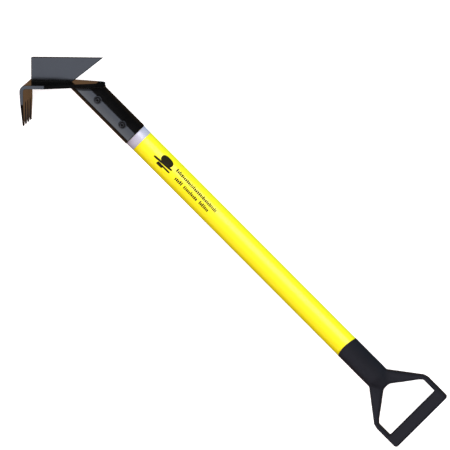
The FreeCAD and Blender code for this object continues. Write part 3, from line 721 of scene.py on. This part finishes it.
CORE_RADIUS = 19.05 * MM
BAND_LENGTH = 16.0 * MM
BAND_THICKNESS = 0.4 * MM
JACKET_WAVE = 0.05 * MM                 # the skin lies this far in, and wanders as far either way
JACKET_WAVE_LENGTH = 60 * MM            # of the wandering, along the pole
INK_HEIGHT = 0.05 * MM
INK_DEPTH = 0.15 * MM
PRINT_TURN = math.radians(-9.8)         # the print's middle line, from the tool's flat
TICK_HALF_HEIGHTS = (2.4 * MM, 2.4 * MM, 2.8 * MM, 3.4 * MM)


def jacket():
    """Long plain skin, never quite true, stepped down at the mouth for the band."""
    edge = 0.15 * MM
    rings = 64
    step_at = JACKET_LENGTH - BAND_LENGTH

    def section(angle):
        loop = [(CORE_RADIUS, edge), (CORE_RADIUS + edge, 0), (JACKET_RADIUS - edge, 0)]
        for ring in range(rings + 1):
            height = edge + (step_at - 2 * edge) * ring / rings
            place = Vector((math.cos(angle), math.sin(angle), height / JACKET_WAVE_LENGTH))
            ease = min(1.0, ring / 3, (rings - ring) / 3)
            stray = JACKET_WAVE * (1 - ease * noise.noise(place))
            loop.append((JACKET_RADIUS - stray, height))
        seat = JACKET_RADIUS - BAND_THICKNESS
        return loop + [(JACKET_RADIUS - edge, step_at), (seat, step_at), (seat, JACKET_LENGTH - edge),
                       (seat - edge, JACKET_LENGTH), (CORE_RADIUS + edge, JACKET_LENGTH),
                       (CORE_RADIUS, JACKET_LENGTH - edge)]

    skin = turned("jacket_skin", section, along_pole(-JACKET_LENGTH), segments=128, capped=False)
    fit_out(skin, "yellow_jacket", "pole_jacket")


def band():
    """Sheeting wrapped once round, with its end lapped over its start on the underside."""
    half_lap = math.radians(14)
    lap = 0.22 * MM
    edge = 0.1 * MM
    start, end = 0.05 * MM, BAND_LENGTH - 0.2 * MM
    inner = JACKET_RADIUS - BAND_THICKNESS

    def section(angle):
        turn = (angle + math.pi) % TURN - math.pi
        outer = JACKET_RADIUS + (lap if abs(turn) < half_lap else 0.0)
        return [(inner, start), (outer - edge, start), (outer, start + edge),
                (outer, end - edge), (outer - edge, end), (inner, end)]

    wrap = turned("reflective_wrap", section, along_pole(-BAND_LENGTH), segments=160, capped=False)
    fit_out(wrap, "reflective_sheet", "reflective_band")


def stamp(work, along, around, half_length, half_height, lean=0.0, power=5.0, spokes=16):
    """A thin raised patch of ink on the jacket's front: a box with soft corners, or an oval where
    power is 2. Its centre is at x = along, and around is the distance round the pole from the line
    the print is centred on."""
    top, bottom = JACKET_RADIUS + INK_HEIGHT, JACKET_RADIUS - INK_DEPTH
    rings = 1 if half_height < 3 * MM else 4

    def point(share, angle, radius):
        out, up = math.cos(angle), math.sin(angle)
        x = share * half_length * math.copysign(abs(out) ** (2 / power), out)
        y = share * half_height * math.copysign(abs(up) ** (2 / power), up)
        x, y = x * math.cos(lean) - y * math.sin(lean), x * math.sin(lean) + y * math.cos(lean)
        turn = (around + y) / JACKET_RADIUS + PRINT_TURN
        return work.verts.new(in_tool(along + x, radius * math.sin(turn), radius * math.cos(turn)))

    outlines = []
    for radius in (top, bottom):
        centre = point(0, 0, radius)
        loops = [[point(ring / rings, TURN * spoke / spokes, radius) for spoke in range(spokes)]
                 for ring in range(1, rings + 1)]
        for spoke in range(spokes):
            beside = (spoke + 1) % spokes
            work.faces.new((centre, loops[0][spoke], loops[0][beside]))
            for inside, outside in zip(loops, loops[1:]):
                work.faces.new((inside[spoke], outside[spoke], outside[beside], inside[beside]))
        outlines.append(loops[-1])
    for spoke in range(spokes):
        beside = (spoke + 1) % spokes
        work.faces.new((outlines[0][spoke], outlines[1][spoke],
                        outlines[1][beside], outlines[0][beside]))


def row_of_ticks(work, begin, end, around, lean):
    """What a line of small print comes to without any letters: upright ticks of uneven size, which
    stand on one line."""
    chance = random.Random(round(begin / MM))
    x = begin
    while x > end:
        half_width = chance.uniform(0.85, 1.35) * MM
        half_height = chance.choice(TICK_HALF_HEIGHTS)
        rise = (begin - x) * lean
        stands = (TICK_HALF_HEIGHTS[0] - half_height) * 0.9
        stamp(work, x - half_width, around + rise + stands, half_width, half_height)
        x -= 2 * half_width + chance.uniform(0.8, 1.2) * MM


def printing():
    """Plain printed marks near the socket: an oval with bars under it, and two rows of ticks."""
    work = bmesh.new()
    stamp(work, -71 * MM, -6.6 * MM, 12.5 * MM, 7.6 * MM, power=2.3, spokes=40)
    stamp(work, -68 * MM, 1.0 * MM, 20 * MM, 1.9 * MM, lean=math.radians(5))
    stamp(work, -74 * MM, 5.3 * MM, 14 * MM, 1.5 * MM)
    stamp(work, -66 * MM, 7.6 * MM, 6.5 * MM, 2.1 * MM)
    row_of_ticks(work, -93 * MM, -190 * MM, -7.4 * MM, 0.034)
    for begin, end in ((-101, -115), (-122, -151), (-159, -179)):
        row_of_ticks(work, begin * MM, end * MM, 4.7 * MM, 0.018)
    marks = new_object("printed_marks", work)
    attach(marks, "root")
    marks.data.materials.append(INK)


# ---------------------------------------------------------------- the grip

GRIP_VOXEL = 0.7 * MM
CORE_DEPTH = 70.0 * MM                  # how far the pole goes into the collar
FILL_DEPTH = 75.0 * MM                  # how far the collar is filled while it is rounded
YOKE_FROM = 62.0 * MM                   # where the collar starts to run out into the arms
YOKE_TO = 112.0 * MM
YOKE_HALF_WIDTH = 24.0 * MM
YOKE_FADE = 10.0 * MM
YOKE_SIDE_FADE = 6.0 * MM
LIP_RADIUS = 21.5 * MM
LIP_LENGTH = 6.0 * MM                   # of the lip behind the jacket's end
RIM_BULGE = 3.6 * MM                    # how far the lip's rim reaches over the jacket
RIM_RADIUS = 65.0 * MM                  # of the rim's curve, seen from the side
RIM_CUT = 9.0 * MM                      # how far over the jacket the CAD's square rim is cut off
RIM_CLEAR = 12.0 * MM                   # how far over the jacket the new rim is bored out
POLE_PLAY = 0.05 * MM
JACKET_PLAY = 0.02 * MM


def pole_cylinder(name, start, end, radius, segments=160):
    """A plain solid round the pole's axis between two places of the tool frame, as a cutter."""
    work = bmesh.new()
    bmesh.ops.create_cone(work, cap_ends=True, segments=segments, radius1=radius, radius2=radius,
                          depth=end - start)
    work.transform(along_pole((start + end) / 2))
    return new_object(name, work)


def lip():
    """The end of the collar, whose rim bulges over the jacket front and back."""
    begin = -JACKET_LENGTH - LIP_LENGTH

    def section(angle):
        aside = LIP_RADIUS * math.sin(angle)
        bulge = RIM_BULGE - (RIM_RADIUS - math.sqrt(RIM_RADIUS ** 2 - aside ** 2))
        end = -JACKET_LENGTH + bulge - begin
        return [(CORE_RADIUS, 0), (LIP_RADIUS, 0), (LIP_RADIUS, end - 0.2 * MM),
                (LIP_RADIUS - 0.1 * MM, end), (CORE_RADIUS, end)]

    return turned("lip", section, along_pole(begin), segments=180, capped=False)


def grip():
    """The CAD's grip as one soft-edged moulding: filled, rounded all over, most of all where the
    collar runs out into the arms, then bored again for the pole."""
    rim = -JACKET_LENGTH
    body = cad_copy("d_grip", "hand_grip")
    fill = pole_cylinder("fill", rim - FILL_DEPTH, rim - 0.1 * MM, CORE_RADIUS + 1 * MM)
    carve(body, fill, "UNION")
    remesh = body.modifiers.new("voxels", "REMESH")
    remesh.mode = "VOXEL"
    remesh.voxel_size = GRIP_VOXEL
    apply_modifiers(body)

    arms, yoke = (body.vertex_groups.new(name=name) for name in ("arms", "yoke"))
    for vertex in body.data.vertices:
        place = rim - (vertex.co.x - MOUTH.x)
        past_collar = (place - YOKE_FROM) / YOKE_FADE
        if past_collar > 0:
            arms.add([vertex.index], min(1.0, past_collar), "REPLACE")
        aside = abs(vertex.co.y - MOUTH.y)
        within = min(past_collar, (YOKE_TO - place) / YOKE_FADE,
                     (YOKE_HALF_WIDTH - aside) / YOKE_SIDE_FADE)
        if within > 0:
            yoke.add([vertex.index], min(1.0, within), "REPLACE")
    for group, factor, turns in ((None, 0.5, 2), (arms, 0.5, 12), (yoke, 0.6, 150)):
        smooth = body.modifiers.new("soften", "SMOOTH")
        smooth.factor = factor
        smooth.iterations = turns
        smooth.vertex_group = group.name if group else ""
    apply_modifiers(body)
    carve(body, pole_cylinder("square_rim", rim - 2 * MM, rim + RIM_CUT, LIP_RADIUS + 2 * MM))
    carve(body, lip(), "UNION")
    carve(body, pole_cylinder("bore", rim - CORE_DEPTH, rim + 1 * MM, CORE_RADIUS + POLE_PLAY))
    carve(body, pole_cylinder("bore", rim, rim + RIM_CLEAR, JACKET_RADIUS + JACKET_PLAY))
    body.data.shade_smooth()
    body.data.set_sharp_from_angle(angle=math.radians(40))
    fit_out(body, "black_grip", "d_grip")


head_plates()
blade_welds()
socket_weld_bead()
socket()
fasteners()
jacket()
band()
printing()
grip()


# ---------------------------------------------------------------- finishes of the kept CAD nodes

KEPT = {
    "nylon_insert_lower": "nylon", "nylon_insert_upper": "nylon",
    "pole_core": "fibreglass", "foam_core": "foam",
    "head_plug": "hardwood", "grip_plug": "hardwood",
}
for node, slot in KEPT.items():
    NODES[node].data.materials.clear()
    NODES[node].data.materials.append(MATERIALS[slot])


# ---------------------------------------------------------------- floor, light and camera

VIEW_ROLL = math.radians(9.8)           # the camera leans from straight above, away from the teeth
VIEW_SPIN = math.radians(0.0793)        # of the picture, from the pole at 45 degrees
VIEW_DISTANCE = 30.0
VIEW_WIDTH = 769.1 * MM                 # what the picture takes in at the tool
VIEW_CENTRE_X = -237.1 * MM             # the pole's middle, in the tool's frame
VIEW_SHIFT = (14.10 * MM, 13.33 * MM)   # of the pole's middle, right and down from the centre
SENSOR = 36.0
DARK_ROOM = (0.010, 0.010, 0.010)
STRIP_RADIANCE = 11.0
STRIP_SIZE = (8.0, 3.0)
STRIP_DISTANCE = 3.5
STRIP_TURN = math.radians(34)           # of the strip light round the pole, from the camera


def camera():
    """From far off, almost square to the tool's flat, with the pole running down to the right."""
    back = Vector((0, -math.sin(VIEW_ROLL), math.cos(VIEW_ROLL)))
    over = Vector((0, math.cos(VIEW_ROLL), math.sin(VIEW_ROLL)))
    pole = Vector((1, 0, 0))
    right = -(pole + over) / math.sqrt(2)
    up = (pole - over) / math.sqrt(2)
    spun, still = math.sin(VIEW_SPIN), math.cos(VIEW_SPIN)
    right, up = still * right + spun * up, still * up - spun * right
    aim = in_tool(VIEW_CENTRE_X, 0, 0) - right * VIEW_SHIFT[0] + up * VIEW_SHIFT[1]
    data = bpy.data.cameras.new("view")
    data.sensor_width = SENSOR
    data.lens = VIEW_DISTANCE / VIEW_WIDTH * SENSOR
    data.clip_start = 0.1
    data.clip_end = 100
    made = bpy.data.objects.new("view", data)
    turn = Matrix((right, up, back)).transposed()
    made.matrix_world = Matrix.Translation(aim + back * VIEW_DISTANCE) @ turn.to_4x4()
    bpy.context.scene.collection.objects.link(made)
    bpy.context.scene.camera = made


def floor():
    """White paper a hair under the tool, which lights nothing and shows in no reflection."""
    size = 30.0
    work = bmesh.new()
    bmesh.ops.create_grid(work, x_segments=1, y_segments=1, size=size)
    made = new_object("floor", work)
    made.location.z = -0.2 * MM
    paper = Surface("white_floor", Roughness=0.9)
    tone = paper.noise(40, 2, 0.5)
    colour = paper.blend(tone, (0.90, 0.90, 0.90), (0.92, 0.92, 0.92))
    paper.finish(Base_Color=colour, Emission_Color=(1, 1, 1), Emission_Strength=0.6)
    made.data.materials.append(paper.material)
    made.visible_glossy = False
    made.visible_diffuse = False


def studio():
    """Light from all round: bright from overhead, cool on one side and warm on the other. What
    shines is a grey screen on the teeth's side, in a dark room with a brown floor; a reflection of
    a reflection finds only the dark. The camera itself sees white."""
    world = bpy.data.worlds.new("studio")
    bpy.context.scene.world = world
    world.use_nodes = True
    sky = Shading(world.node_tree)
    outwards = sky.node("ShaderNodeTexCoord").outputs["Generated"]

    def step(value, low, high):
        return sky.spread(value, low, high, shape="SMOOTHSTEP")

    side = sky.dot(outwards, (0, math.cos(VIEW_ROLL), math.sin(VIEW_ROLL)))
    height = sky.dot(outwards, (0, 0, 1))
    length = sky.maths("ABSOLUTE", sky.dot(outwards, (1, 0, 0)))
    screen = sky.maths("MULTIPLY", step(side, -0.02, 0.02), step(height, 0.03, 0.10))
    screen = sky.maths("MULTIPLY", screen, step(length, 0.24, 0.10))
    below = sky.maths("MAXIMUM", step(side, -0.80, -0.35), 0.22)
    below = sky.maths("MULTIPLY", below, step(height, -0.14, -0.20))
    grey = sky.blend(step(side, 0.30, 0.95), (2.08, 2.29, 2.80), (2.60, 2.75, 3.10))
    shine = sky.blend(screen, DARK_ROOM, grey)
    shine = sky.blend(below, shine, (0.22, 0.125, 0.065))

    lamp = step(height, 0.50, 0.78)
    cool = step(sky.dot(outwards, (0, -1, 0)), -0.15, 0.15)
    warm_side = sky.blend(lamp, (0.03, 0.03, 0.03), (1.69, 1.34, 1.25))
    cool_side = sky.blend(lamp, (0.60, 0.83, 0.95), (2.25, 2.17, 2.20))
    soft = sky.blend(cool, warm_side, cool_side)

    ray = sky.node("ShaderNodeLightPath").outputs
    shine = sky.blend(sky.maths("GREATER_THAN", ray["Glossy Depth"], 1.5), shine, DARK_ROOM)
    colour = sky.blend(ray["Is Glossy Ray"], soft, shine)
    colour = sky.blend(ray["Is Camera Ray"], colour, (1, 1, 1))
    sky.feed(sky.nodes["Background"], Color=colour)


def pole_light():
    """A wide soft strip along the pole's upper side, that only shines on the pole's own surface."""
    data = bpy.data.lights.new("pole_strip", "AREA")
    data.shape = "RECTANGLE"
    data.size, data.size_y = STRIP_SIZE
    data.energy = STRIP_RADIANCE * math.pi * data.size * data.size_y
    data.color = (1.0, 1.0, 0.95)
    lean = VIEW_ROLL + STRIP_TURN
    towards = Vector((0, -math.sin(lean), math.cos(lean)))
    made = bpy.data.objects.new("pole_strip", data)
    made.location = in_tool(VIEW_CENTRE_X, 0, 0) + towards * STRIP_DISTANCE
    made.rotation_euler = (lean, 0, 0)
    made.visible_diffuse = False
    made.visible_camera = False
    lit = bpy.data.collections.new("lit_by_strip")
    for name in ("jacket_skin", "reflective_wrap"):
        lit.objects.link(bpy.data.objects[name])
    made.light_linking.receiver_collection = lit
    bpy.context.scene.collection.objects.link(made)


camera()
floor()
studio()
pole_light()
bpy.context.scene.view_settings.view_transform = "Standard"
